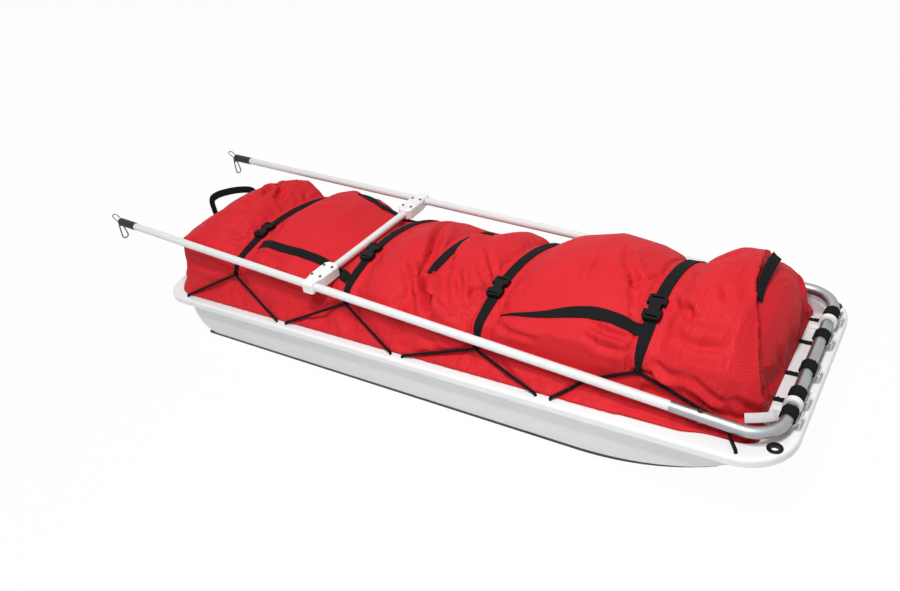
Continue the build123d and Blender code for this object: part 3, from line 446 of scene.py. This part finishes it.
foldStrokes = (  # depth in mm (below 0 presses in), width in mm, then the points it follows
    (-9, 10, (-0.547, 0.089, 0.334), (-0.528, 0.033, 0.326)),
    (-5, 12, (-0.529, 0.137, 0.305), (-0.497, 0.119, 0.287), (-0.488, 0.158, 0.272)),
    (-4, 9, (-0.546, -0.164, 0.305), (-0.520, -0.156, 0.292), (-0.498, -0.137, 0.283)),
    (4, 12, (-0.660, -0.073, 0.315), (-0.544, -0.093, 0.330)),
    (-4, 14, (-0.606, -0.145, 0.313), (-0.557, -0.075, 0.345), (-0.542, -0.001, 0.341)),
    (4, 14, (-0.367, -0.099, 0.314), (-0.394, -0.019, 0.318), (-0.360, 0.035, 0.323), (-0.307, 0.096, 0.306)),
    (-4, 10, (-0.382, -0.119, 0.307), (-0.362, -0.070, 0.319), (-0.393, 0.020, 0.318)),
    (-3, 9, (-0.314, -0.099, 0.307), (-0.285, -0.052, 0.310), (-0.247, 0.007, 0.295)),
    (3, 10, (-0.301, 0.122, 0.300), (-0.243, 0.159, 0.267)),
    (-4, 9, (-0.424, -0.164, 0.280), (-0.354, -0.180, 0.286), (-0.265, -0.176, 0.274)),
    (-5, 9, (-0.185, 0.152, 0.242), (-0.074, 0.046, 0.294), (-0.048, 0.054, 0.294)),
    (-5, 10, (-0.481, -0.236, 0.191), (-0.446, -0.241, 0.181), (-0.416, -0.254, 0.159)),
    (4, 12, (-0.664, -0.216, 0.224), (-0.573, -0.222, 0.218), (-0.499, -0.215, 0.228)),
    (-5, 10, (-0.618, -0.250, 0.166), (-0.536, -0.234, 0.195), (-0.478, -0.220, 0.220)),
    (-14, 12, (0.008, 0.116, 0.280), (0.055, 0.007, 0.302), (0.083, -0.057, 0.296), (0.100, -0.105, 0.285)),
    (-20, 13, (0.105, -0.113, 0.282), (0.122, -0.146, 0.272), (0.155, -0.183, 0.261), (0.174, -0.206, 0.244)),
    (14, 14, (0.108, -0.034, 0.291), (0.133, -0.115, 0.281), (0.163, -0.168, 0.270), (0.198, -0.206, 0.249)),
    (10, 14, (0.043, -0.092, 0.300), (0.089, -0.130, 0.281), (0.132, -0.177, 0.261)),
    (-5, 10, (0.018, -0.082, 0.307), (0.060, -0.125, 0.289), (0.112, -0.173, 0.262), (0.121, -0.205, 0.243)),
    (-5, 8, (0.184, -0.093, 0.298), (0.215, -0.135, 0.292), (0.233, -0.165, 0.275)),
    (4, 10, (0.202, -0.081, 0.306), (0.230, -0.134, 0.287), (0.256, -0.176, 0.263)),
    (-6, 8, (0.200, 0.007, 0.308), (0.240, -0.044, 0.300), (0.271, -0.076, 0.284)),
    (-4, 8, (0.196, -0.030, 0.308), (0.238, -0.081, 0.297), (0.268, -0.109, 0.279)),
    (-5, 9, (0.240, -0.153, 0.277), (0.253, -0.129, 0.280), (0.278, -0.121, 0.273)),
    (-4, 8, (0.217, -0.206, 0.250), (0.241, -0.197, 0.258), (0.266, -0.205, 0.237)),
    (-6, 9, (0.030, 0.049, 0.301), (0.008, 0.116, 0.280), (0.016, 0.156, 0.260)),
    (3, 8, (0.492, -0.015, 0.343), (0.493, -0.062, 0.337), (0.491, -0.088, 0.331)),
    (-6, 10, (0.533, 0.052, 0.334), (0.549, -0.004, 0.340), (0.574, -0.051, 0.335), (0.575, -0.108, 0.321)),
    (-7, 16, (0.584, -0.046, 0.334), (0.599, -0.067, 0.329)),
    (-5, 8, (0.538, -0.172, 0.289), (0.582, -0.179, 0.283), (0.627, -0.177, 0.279)),
    (-5, 8, (0.539, -0.190, 0.276), (0.572, -0.201, 0.266), (0.629, -0.198, 0.262)),
    (4, 8, (0.538, -0.180, 0.283), (0.583, -0.189, 0.275), (0.629, -0.189, 0.269)),
    (-3, 8, (0.331, -0.129, 0.278), (0.384, -0.111, 0.305), (0.414, -0.068, 0.322)),
    (3, 10, (0.336, -0.117, 0.283), (0.367, -0.080, 0.305), (0.398, -0.036, 0.323)),
    (-4, 8, (0.338, -0.199, 0.251), (0.392, -0.203, 0.252), (0.442, -0.204, 0.249)),
    (-6, 10, (0.141, -0.227, 0.204), (0.171, -0.229, 0.200), (0.197, -0.231, 0.196)),
    (-5, 9, (0.192, -0.241, 0.180), (0.225, -0.242, 0.178), (0.270, -0.233, 0.188)),
    (-5, 9, (0.126, -0.248, 0.167), (0.162, -0.251, 0.162), (0.195, -0.250, 0.166)),
    (-6, 9, (0.357, -0.229, 0.189), (0.389, -0.244, 0.169), (0.430, -0.257, 0.155)),
    (5, 10, (0.339, -0.230, 0.189), (0.361, -0.249, 0.164), (0.368, -0.234, 0.122)),
    (-7, 9, (0.541, 0.030, 0.337), (0.579, -0.041, 0.335), (0.618, -0.084, 0.322)),
    (-5, 9, (0.582, -0.033, 0.335), (0.595, -0.084, 0.325), (0.619, -0.115, 0.312)),
    (4, 10, (0.489, -0.019, 0.343), (0.493, -0.064, 0.337), (0.496, -0.098, 0.327)),
    (-6, 10, (0.657, -0.080, 0.319), (0.680, -0.093, 0.320), (0.701, -0.121, 0.318)),
    (4, 9, (0.707, -0.089, 0.331), (0.733, -0.110, 0.334), (0.733, -0.135, 0.322)),
    (-5, 9, (0.700, -0.101, 0.325), (0.721, -0.119, 0.325), (0.724, -0.137, 0.317)),
    (-5, 9, (0.757, -0.055, 0.353), (0.770, -0.066, 0.347), (0.775, -0.090, 0.339)),
    (-6, 9, (0.670, -0.200, 0.259), (0.706, -0.204, 0.242), (0.743, -0.204, 0.245)),
    (-6, 8, (0.656, -0.203, 0.244), (0.689, -0.207, 0.218), (0.718, -0.211, 0.194)),
    (4, 8, (0.659, -0.202, 0.253), (0.696, -0.205, 0.231), (0.731, -0.208, 0.218)),
    (-6, 9, (0.747, -0.204, 0.250), (0.780, -0.204, 0.222), (0.809, -0.204, 0.201)),
    (5, 9, (0.744, -0.206, 0.234), (0.781, -0.206, 0.203), (0.817, -0.205, 0.179)),
    (-5, 8, (0.751, -0.207, 0.223), (0.784, -0.207, 0.192), (0.811, -0.207, 0.174)),
    (-6, 9, (0.823, -0.197, 0.218), (0.844, -0.192, 0.199), (0.867, -0.181, 0.181)),
    (-5, 9, (0.711, -0.168, 0.294), (0.754, -0.176, 0.294), (0.802, -0.164, 0.291)),
    (4, 12, (0.694, -0.142, 0.305), (0.753, -0.154, 0.312), (0.813, -0.140, 0.305)),
    (-5, 9, (0.567, -0.223, 0.182), (0.615, -0.228, 0.174), (0.662, -0.235, 0.168)),
    (-5, 9, (0.673, -0.236, 0.168), (0.725, -0.233, 0.166), (0.781, -0.236, 0.161)),
    (4, 9, (0.631, -0.240, 0.166), (0.685, -0.248, 0.159), (0.738, -0.250, 0.157)),
    (-5, 9, (0.757, -0.227, 0.167), (0.800, -0.233, 0.161), (0.844, -0.229, 0.157)),
    (20, 24, (0.156, 0.070, 0.286), (0.160, 0.020, 0.295), (0.162, -0.030, 0.292), (0.168, -0.085, 0.286)),
    (-10, 9, (-0.600, 0.120, 0.325), (-0.572, 0.060, 0.350), (-0.548, 0.010, 0.345)),
)


# Holds points at the rim and under the straps
def heldWeight(place, straps):
    near, far = bagForm["strapHold"]
    weight = 1.0 - smoothStep(bagForm["rimHeight"], bagForm["rimHeight"] + bagForm["rimBlend"], place.z)
    reach = straps.find_nearest(place, far)
    if reach[0] is not None:
        weight = max(weight, 1.0 - smoothStep(near, far, reach[3]))
    return weight


# Only what shows above the rim is blown; the rest of the bag keeps its place in the tub
def blowBag(bag):
    bm = bmesh.new()
    bm.from_mesh(bag.data)
    number = bm.verts.layers.int.new("number")
    for vert in bm.verts:
        vert[number] = vert.index
    hidden = [vert for vert in bm.verts if vert.co.z < bagForm["rimHeight"] - bagForm["rimBlend"]]
    bmesh.ops.delete(bm, geom=hidden, context="VERTS")
    order = [vert[number] for vert in bm.verts]
    mesh = bpy.data.meshes.new("bagTop")
    bm.to_mesh(mesh)
    bm.free()
    top = bpy.data.objects.new("bagTop", mesh)
    scene.collection.objects.link(top)
    straps = treeOf(heldNames)
    held = top.vertex_groups.new(name="held")
    for vert in mesh.vertices:
        weight = heldWeight(vert.co, straps)
        if weight > 0:
            held.add([vert.index], weight, "REPLACE")
        vert.co -= vert.normal * bagForm["slim"] * (1.0 - weight)
    fill = top.modifiers.new("fill", "CLOTH")
    settings = fill.settings
    settings.quality = bagForm["quality"]
    settings.mass = bagForm["mass"]
    settings.tension_stiffness = bagForm["stretch"]
    settings.compression_stiffness = bagForm["stretch"]
    settings.shear_stiffness = bagForm["shear"]
    settings.bending_stiffness = bagForm["bending"]
    settings.use_pressure = True
    settings.uniform_pressure_force = bagForm["pressure"]
    settings.shrink_min = -bagForm["slack"]
    settings.effector_weights.gravity = 0
    settings.vertex_group_mass = "held"
    fill.collision_settings.use_collision = False
    fill.point_cache.frame_start = 1
    fill.point_cache.frame_end = bagForm["frames"]
    for step in range(1, bagForm["frames"] + 1):
        scene.frame_set(step)
    applyModifiers(top)
    scene.frame_set(1)
    for vert, index in zip(top.data.vertices, order):
        bag.data.vertices[index].co = vert.co
    bpy.data.objects.remove(top)
    print("bag blown:", len(order), "points")


# Holds the cloth to its solid: it may stand proud a little, and less beside the lashing
def holdToSolid(bag):
    skin = treeOf(["bag"])
    cords = treeOf(cordNames)
    close, far = bagForm["cordHold"]
    least = bagForm["cordShare"]
    for vert in bag.data.vertices:
        near = skin.find_nearest(vert.co)
        out = (vert.co - near[0]).dot(near[1])
        limit = bagForm["proud"]
        cord = cords.find_nearest(vert.co, far)
        if cord[0] is not None:
            limit *= least + (1.0 - least) * smoothStep(close, far, cord[3])
        if out > 0:
            vert.co -= near[1] * (out - limit * (1.0 - math.exp(-out / limit)))


def keepClear(bag, barTree, gap):
    for vert in bag.data.vertices:
        hit = barTree.find_nearest(vert.co, gap)
        if hit[0] is None:
            continue
        away = vert.co - hit[0]
        side = 1.0 if away.dot(hit[1]) > 0 else -1.0
        vert.co = hit[0] + away.normalized() * gap * side


def meshArrays(mesh):
    place = np.empty(len(mesh.vertices) * 3)
    mesh.vertices.foreach_get("co", place)
    facing = np.empty(len(mesh.vertices) * 3)
    mesh.vertex_normals.foreach_get("vector", facing)
    return place.reshape(-1, 3), facing.reshape(-1, 3)


# For each point: distance to the line, share along it, and the vector from it
def reachToLine(place, points):
    best = np.full(len(place), 1e9)
    share = np.zeros(len(place))
    offset = np.zeros_like(place)
    points = np.array(points)
    lengths = np.linalg.norm(np.diff(points, axis=0), axis=1)
    for index, length in enumerate(lengths):
        way = (points[index + 1] - points[index]) / length
        step = np.clip((place - points[index]) @ way, 0, length)
        gap = place - (points[index] + step[:, None] * way)
        reach = np.linalg.norm(gap, axis=1)
        closer = reach < best
        best[closer] = reach[closer]
        share[closer] = (lengths[:index].sum() + step[closer]) / lengths.sum()
        offset[closer] = gap[closer]
    return best, share, offset


# How far a fold may move each point: not at all beside a strap
def foldFreedom(place):
    straps = treeOf(strapNames)
    near, far = bagForm["strapPress"]
    sewnX, sewnY = bagForm["sewnFoot"]  # the sewn strap goes under a fold there
    share = np.ones(len(place))
    for index, spot in enumerate(place):
        reach = straps.find_nearest(Vector(spot), far)
        covered = abs(spot[0] - sewnX) < 2 * far and spot[1] < sewnY
        if reach[0] is not None and not covered:
            share[index] = smoothStep(near, far, reach[3])
    return share


def pressFolds(bag):
    place, facing = meshArrays(bag.data)
    move = np.zeros(len(place))
    for depth, width, *points in foldStrokes:
        reach, share, offset = reachToLine(place, points)
        ratio = reach / (width / 1000)
        taper = np.sqrt(np.clip(np.sin(np.pi * share), 0, 1))
        lobe = bagForm["foldLobe"] if width < bagForm["bulgeWidth"] else 0.0
        wave = np.exp(-ratio ** 2) - lobe * np.exp(-(ratio - bagForm["lobePlace"]) ** 2)
        move += depth / 1000 * taper * wave
    reach, share, offset = reachToLine(place, flapEdge["points"])
    front = offset[:, 0] > 0
    drop = np.clip(reach / flapEdge["edge"], 0, 1) * np.exp(-(reach / flapEdge["reach"]) ** 2)
    move -= np.where(front, flapEdge["step"] * drop, 0)
    move += np.where(front, 0, flapEdge["bead"] * np.exp(-(reach / flapEdge["beadReach"]) ** 2))
    move *= np.clip((place[:, 2] - bagForm["rimHeight"]) / bagForm["foldBlend"], 0, 1) * foldFreedom(place)
    place += facing * np.clip(move * bagForm["foldGain"], *bagForm["foldLimits"])[:, None]
    bag.data.vertices.foreach_set("co", place.ravel())
    bag.data.update()


# The bag's foot spreads over the rim, up to the lashing
def spreadFoot(bag):
    cords = treeOf(cordNames)
    low, high = bagForm["skirtHeights"]
    near, far = bagForm["skirtCord"]
    for vert in bag.data.vertices:
        onSide = abs(vert.co.y) >= bagForm["skirtSide"]
        if not onSide or not bagForm["skirtFloor"] <= vert.co.z <= high:
            continue
        share = 1.0 - smoothStep(low, high, vert.co.z)
        share *= 1.0 - smoothStep(*bagForm["skirtFront"], vert.co.x)
        cord = cords.find_nearest(vert.co, far)
        if cord[0] is not None:
            share *= smoothStep(near, far, cord[3])
        vert.co.y += math.copysign(bagForm["skirt"] * share, vert.co.y)


def makeBag():
    bm = bmesh.new()
    bm.from_mesh(nodes["bag"].data)
    bmesh.ops.remove_doubles(bm, verts=bm.verts, dist=mergeGap)
    bag = newPiece("coverBag", bm, finishes["bag_red"], "sled")
    cut = bag.modifiers.new("cut", "REMESH")
    cut.mode = "VOXEL"
    cut.voxel_size = bagForm["voxel"]
    applyModifiers(bag)
    bm = bmesh.new()
    bm.from_mesh(bag.data)
    smoothVerts(bm, *bagForm["smoothing"])
    bm.to_mesh(bag.data)
    bm.free()
    blowBag(bag)
    holdToSolid(bag)
    finer = bag.modifiers.new("finer", "SUBSURF")
    finer.levels = 1
    finer.render_levels = 1
    applyModifiers(bag)
    pressFolds(bag)
    spreadFoot(bag)
    keepClear(bag, treeOf(drawbarNames), bagForm["clearance"])
    for face in bag.data.polygons:
        face.use_smooth = True
    bag.data.materials.clear()
    bag.data.materials.append(finishes["bag_red"])
    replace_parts(bag, "bag")
    return bag


bag = makeBag()
bagSkin = BVHTree.FromPolygons([v.co for v in bag.data.vertices], [f.vertices for f in bag.data.polygons])
print("bag ready:", len(bag.data.polygons), "faces")


# Webbing laid on the bag
stripForm = {
    "width": 0.025,
    "thickness": 0.0018,
    "lift": 0.0008,
    "stepsPerRun": 10,
    "stepsAcross": 4,
    "facingReach": 0.022,
    "spare": 1.2,  # the smoothing takes it off
    "smoothing": (4, 0.3),  # turns, factor
    "ahead": 0.02,  # share of the way over which its direction is taken
    "sharp": 50,  # degrees
}
tailStrips = {
    "strapTailRear": {
        "node": "strap_tail_rear", "widths": (1, 1, 1, 1, 1, 0.96),
        "points": ((-0.088, -0.163, 0.25), (-0.150, -0.140, 0.255), (-0.217, -0.131, 0.268),
                   (-0.300, -0.146, 0.293), (-0.370, -0.146, 0.298), (-0.446, -0.134, 0.285)),
    },
    "strapTailLeft": {
        "node": "strap_tail_left", "widths": (1, 1, 1, 1, 0.96),
        "points": ((-0.088, 0.165, 0.25), (-0.150, 0.167, 0.245), (-0.210, 0.168, 0.249),
                   (-0.264, 0.159, 0.277), (-0.345, 0.178, 0.285)),
    },
    "strapTailFront": {
        "node": "strap_tail_front", "widths": (1, 1, 1, 0.95, 0.62, 0.3, 0.06),
        "points": ((0.648, -0.158, 0.288), (0.600, -0.154, 0.297), (0.550, -0.152, 0.301),
                   (0.505, -0.159, 0.298), (0.450, -0.170, 0.287), (0.390, -0.175, 0.274),
                   (0.335, -0.174, 0.263)),
    },
    "frontHandle": {
        "node": "front_handle", "widths": (1, 1, 1, 1), "lifts": (0.0, 0.003, 0.008, 0.014),
        "points": ((0.826, -0.040, 0.330), (0.820, 0.000, 0.340), (0.813, 0.060, 0.335),
                   (0.806, 0.118, 0.318)),
    },
    "sewnStrap": {
        "node": sewnName, "widths": (0.75, 1, 1, 1, 1, 1),
        "points": ((0.112, -0.108, 0.284), (0.112, -0.070, 0.293), (0.112, -0.010, 0.300),
                   (0.112, 0.050, 0.297), (0.112, 0.110, 0.284), (0.112, 0.160, 0.262)),
    },
}
wrapForm = {"runs": 16, "centerHeight": 0.19, "outside": 0.6, "gather": (0.4, 0.85), "footHeight": 0.003}


def strapFoot(name, side):
    points = [v.co for v in nodes[name].data.vertices if v.co.y * side > 0]
    low = min(point.z for point in points)
    feet = [point for point in points if point.z < low + wrapForm["footHeight"]]
    return sum(feet, Vector()) / len(feet)


def alongPoints(points, share):
    place = share * (len(points) - 1)
    index = min(int(place), len(points) - 2)
    part = place - index
    a, b, c, d = (Vector(points[min(max(index + k, 0), len(points) - 1)]) for k in (-1, 0, 1, 2))
    return 0.5 * (2 * b + (c - a) * part + (2 * a - 5 * b + 4 * c - d) * part ** 2
                  + (3 * b - a - 3 * c + d) * part ** 3)


def alongNumbers(numbers, share):
    place = share * (len(numbers) - 1)
    index = min(int(place), len(numbers) - 2)
    return numbers[index] + (numbers[index + 1] - numbers[index]) * (place - index)


# Direction of the line through the points
def alongWay(points, share):
    ahead = stripForm["ahead"]
    return alongPoints(points, min(share + ahead, 1.0)) - alongPoints(points, max(share - ahead, 0.0))


def skinFacing(place):
    found = bagSkin.find_nearest_range(place, stripForm["facingReach"])
    return sum((hit[1] for hit in found), bagSkin.find_nearest(place)[1]).normalized()


# A grid bent along the points and pressed onto the bag, then given its thickness
def layStrip(name, points, widths, lifts=(0.0, 0.0)):
    bm = bmesh.new()
    bm.loops.layers.uv.new("UVMap")
    steps = stripForm["stepsPerRun"] * (len(points) - 1)
    bmesh.ops.create_grid(bm, x_segments=steps, y_segments=stripForm["stepsAcross"], size=1.0, calc_uvs=True)
    for vert in bm.verts:
        share = (vert.co.x + 1) / 2
        side = vert.co.y
        middle = alongPoints(points, share)
        facing = skinFacing(bagSkin.find_nearest(middle)[0])
        across = facing.cross(alongWay(points, share)).normalized()
        half = stripForm["width"] / 2 * stripForm["spare"] * alongNumbers(widths, share)
        spot = bagSkin.find_nearest(middle + across * half * side)
        vert.co = spot[0] + (spot[1] + facing).normalized() * (stripForm["lift"] + alongNumbers(lifts, share))
    smoothVerts(bm, *stripForm["smoothing"])
    for vert in bm.verts:
        spot = bagSkin.find_nearest(vert.co)
        sunk = stripForm["lift"] - (vert.co - spot[0]).dot(spot[1])
        vert.co += spot[1] * max(sunk, 0.0)
    bmesh.ops.recalc_face_normals(bm, faces=bm.faces)
    middleFace = min(bm.faces, key=lambda face: face.index)
    if middleFace.normal.dot(bagSkin.find_nearest(middleFace.calc_center_median())[1]) < 0:
        bmesh.ops.reverse_faces(bm, faces=bm.faces)
    bmesh.ops.solidify(bm, geom=bm.faces[:], thickness=-stripForm["thickness"])
    bmesh.ops.recalc_face_normals(bm, faces=bm.faces)
    strip = newPiece(name, bm, finishes["webbing_black"], "sled")
    strip.data.set_sharp_from_angle(angle=math.radians(stripForm["sharp"]))
    return strip


# Points over the bag from one foot of a cross strap to the other, and the width gathered at both feet
def wrapStrap(name):
    place = meshArrays(nodes[name].data)[0]
    center = Vector(((place[:, 0].min() + place[:, 0].max()) / 2, 0, wrapForm["centerHeight"]))
    feet = [strapFoot(name, side) - center for side in (-1, 1)]
    start, end = (math.atan2(foot.z, foot.y) % (2 * math.pi) for foot in feet)
    if start - end > math.pi:
        end += 2 * math.pi
    points = []
    for step in range(wrapForm["runs"] + 1):
        angle = start + (end - start) * step / wrapForm["runs"]
        way = Vector((0, math.cos(angle), math.sin(angle)))
        points.append(bagSkin.ray_cast(center + way * wrapForm["outside"], -way)[0])
    narrow = list(wrapForm["gather"])
    return points, narrow + [1] * (len(points) - 2 * len(narrow)) + narrow[::-1]


for name in strapNames:
    if name != sewnName:
        strip = layStrip("crossStrap" + name[-1], *wrapStrap(name))
        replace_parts(strip, name)
for name, form in tailStrips.items():
    strip = layStrip(name, form["points"], form["widths"], form.get("lifts", (0.0, 0.0)))
    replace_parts(strip, form["node"])
print("webbing laid on the bag:", len(strapNames) - 1 + len(tailStrips), "strips")

# Webbing that stands free: the rear handle on edge, and the end of the white hem
bandForm = {
    "rearHandle": {
        "points": ((-0.698, -0.059, 0.290), (-0.698, -0.059, 0.320), (-0.698, -0.057, 0.344),
                   (-0.698, -0.046, 0.354), (-0.698, -0.015, 0.352), (-0.698, 0.040, 0.336),
                   (-0.698, 0.088, 0.312), (-0.698, 0.100, 0.285)),
        "width": 0.017, "thickness": 0.003, "facing": (1, 0, 0.25), "slot": "webbing_black",
    },
    "hemTab": {
        "points": ((0.848, -0.206, 0.185), (0.866, -0.194, 0.182), (0.882, -0.180, 0.178),
                   (0.894, -0.166, 0.174)),
        "width": 0.016, "thickness": 0.002, "facing": (0.5, -0.6, 0.6), "slot": "hem_white",
    },
}


def layBand(name, form):
    bm = bmesh.new()
    points = form["points"]
    steps = stripForm["stepsPerRun"] * (len(points) - 1)
    bmesh.ops.create_grid(bm, x_segments=steps, y_segments=2, size=1.0)
    for vert in bm.verts:
        share = (vert.co.x + 1) / 2
        side = vert.co.y
        across = Vector(form["facing"]).cross(alongWay(points, share)).normalized()
        vert.co = alongPoints(points, share) + across * side * form["width"] / 2
    bmesh.ops.solidify(bm, geom=bm.faces[:], thickness=form["thickness"])
    bmesh.ops.recalc_face_normals(bm, faces=bm.faces)
    band = newPiece(name, bm, finishes[form["slot"]], "sled")
    band.data.set_sharp_from_angle(angle=math.radians(stripForm["sharp"]))
    return band


for name, form in bandForm.items():
    band = layBand(name, form)
    if name == "rearHandle":
        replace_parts(band, "rear_handle")
print("free webbing made:", len(bandForm))


# Loops round the bar: their solids puffed out and roughened like sewn webbing
loopForm = {"voxel": 0.0016, "swell": 0.0012, "fuzz": 0.0012, "grain": 230.0}


def makeLoops():
    bm = bmesh.new()
    bm.from_mesh(nodes["bar_loops"].data)
    bmesh.ops.remove_doubles(bm, verts=bm.verts, dist=mergeGap)
    loops = newPiece("barLoops", bm, finishes["webbing_black"], "sled")
    even = loops.modifiers.new("even", "REMESH")
    even.mode = "VOXEL"
    even.voxel_size = loopForm["voxel"]
    applyModifiers(loops)
    place, facing = meshArrays(loops.data)
    for index, spot in enumerate(place):
        push = loopForm["swell"] + loopForm["fuzz"] * noise.noise(Vector(spot) * loopForm["grain"])
        place[index] = spot + facing[index] * push
    loops.data.vertices.foreach_set("co", place.ravel())
    loops.data.update()
    for face in loops.data.polygons:
        face.use_smooth = True
    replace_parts(loops, "bar_loops")
    print("bar loops puffed:", len(loops.data.polygons), "faces")


makeLoops()


# Lashing cords, a little thicker than their solids where the braid puffs out
cordForm = {"swell": 0.0007, "pieces": {"lashCordLeft": "lash_cord_left", "lashCordRight": "lash_cord_right"}}
for name, nodeName in cordForm["pieces"].items():
    bm = bmesh.new()
    bm.from_mesh(nodes[nodeName].data)
    bmesh.ops.remove_doubles(bm, verts=bm.verts, dist=mergeGap)
    bm.normal_update()
    for vert in bm.verts:
        vert.co += vert.normal * cordForm["swell"]
    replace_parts(newPiece(name, bm, finishes["cord_black"], "sled"), nodeName)
print("cords thickened")


# Knots where the lashing takes the strap ends
knotForm = {
    "wire": 0.0026,
    "ring": 0.0062,
    "turns": ((20, 0, 0), (75, 30, 40), (-60, 20, 90)),
    "drop": 0.004,
    "around": 10,
    "steps": 18,
}


def addRing(bm, radius, wire, matrix):
    before = set(bm.verts)
    place = Matrix.Translation((radius, 0, 0)) @ Matrix.Rotation(math.pi / 2, 4, "X")
    section = bmesh.ops.create_circle(bm, segments=knotForm["around"], radius=wire, matrix=place)["verts"]
    edges = list({edge for vert in section for edge in vert.link_edges})
    bmesh.ops.spin(bm, geom=section + edges, axis=(0, 0, 1), cent=(0, 0, 0), angle=2 * math.pi,
                   steps=knotForm["steps"], use_merge=True)
    bmesh.ops.transform(bm, matrix=matrix, verts=[vert for vert in bm.verts if vert not in before])


def makeKnots():
    bm = bmesh.new()
    for name in strapNames:
        if name == sewnName:
            continue
        for side in (1, -1):
            foot = strapFoot(name, side) - Vector((0, 0, knotForm["drop"]))
            for turn in knotForm["turns"]:
                rotation = Euler([math.radians(angle) for angle in turn]).to_matrix().to_4x4()
                addRing(bm, knotForm["ring"], knotForm["wire"], Matrix.Translation(foot) @ rotation)
    bmesh.ops.recalc_face_normals(bm, faces=bm.faces)
    return newPiece("lashKnots", bm, finishes["cord_black"], "sled")


makeKnots()
print("knots tied")


# Ribbed sleeves over the shaft ends
sleeveForm = {
    "wall": 0.0012,
    "overlap": 0.014,
    "ribs": 9,
    "ribHeight": 0.0007,
    "stepsPerRib": 6,
    "around": 24,
    "seat": 0.0005,
    "mergeGap": 1e-6,
    "endBand": 2e-4,  # points this near a tube's end belong to it
    "sharp": 50,  # degrees
}


# Both end points of a straight tube, on its axis
def tubeEnds(name):
    place = meshArrays(nodes[name].data)[0]
    middle = place.mean(axis=0)
    way = np.linalg.svd(place - middle, full_matrices=False)[2][0]
    way = way * np.sign(way[0])
    reach = (place - middle) @ way
    low = place[reach < reach.min() + sleeveForm["endBand"]]
    high = place[reach > reach.max() - sleeveForm["endBand"]]
    return Vector(low.mean(axis=0)), Vector(high.mean(axis=0))


# How far a node goes along an axis, and its radius about it
def reachOnAxis(name, start, way):
    place = meshArrays(nodes[name].data)[0] - np.array(start)
    along = place @ np.array(way)
    radii = np.linalg.norm(place - along[:, None] * np.array(way), axis=1)
    return along.max(), radii.max()


def makeSleeve(name, shaftName, tipName):
    rear, front = tubeEnds(shaftName)
    way = (rear - front).normalized()
    length, radius = reachOnAxis(tipName, rear, way)
    shaftRadius = reachOnAxis(shaftName, rear, way)[1]
    outer = shaftRadius + sleeveForm["wall"]
    steps = sleeveForm["ribs"] * sleeveForm["stepsPerRib"]
    profile = [(shaftRadius, -sleeveForm["overlap"])]
    for step in range(steps + 1):
        rib = abs(math.sin(math.pi * step / sleeveForm["stepsPerRib"]))
        reach = -sleeveForm["overlap"] + (length + sleeveForm["overlap"]) * step / steps
        profile.append((outer - sleeveForm["ribHeight"] * (1 - rib), reach))
    seat = sleeveForm["seat"]
    profile += [(radius, length), (radius, seat), (shaftRadius, seat)]
    bm = bmesh.new()
    verts = [bm.verts.new((width, 0, height)) for width, height in profile]
    edges = [bm.edges.new((verts[index - 1], verts[index])) for index in range(len(verts))]
    bmesh.ops.spin(bm, geom=verts + edges, axis=(0, 0, 1), cent=(0, 0, 0), angle=2 * math.pi,
                   steps=sleeveForm["around"], use_merge=True)
    bmesh.ops.remove_doubles(bm, verts=bm.verts, dist=sleeveForm["mergeGap"])
    bmesh.ops.recalc_face_normals(bm, faces=bm.faces)
    turn = way.to_track_quat("Z", "Y").to_matrix().to_4x4()
    bmesh.ops.transform(bm, matrix=Matrix.Translation(rear) @ turn, verts=bm.verts)
    sleeve = newPiece(name, bm, finishes["tip_black"], "drawbar")
    sleeve.data.set_sharp_from_angle(angle=math.radians(sleeveForm["sharp"]))


makeSleeve("tipSleeveLeft", "shaft_left", "tip_left")
makeSleeve("tipSleeveRight", "shaft_right", "tip_right")
print("sleeves on the shaft ends")
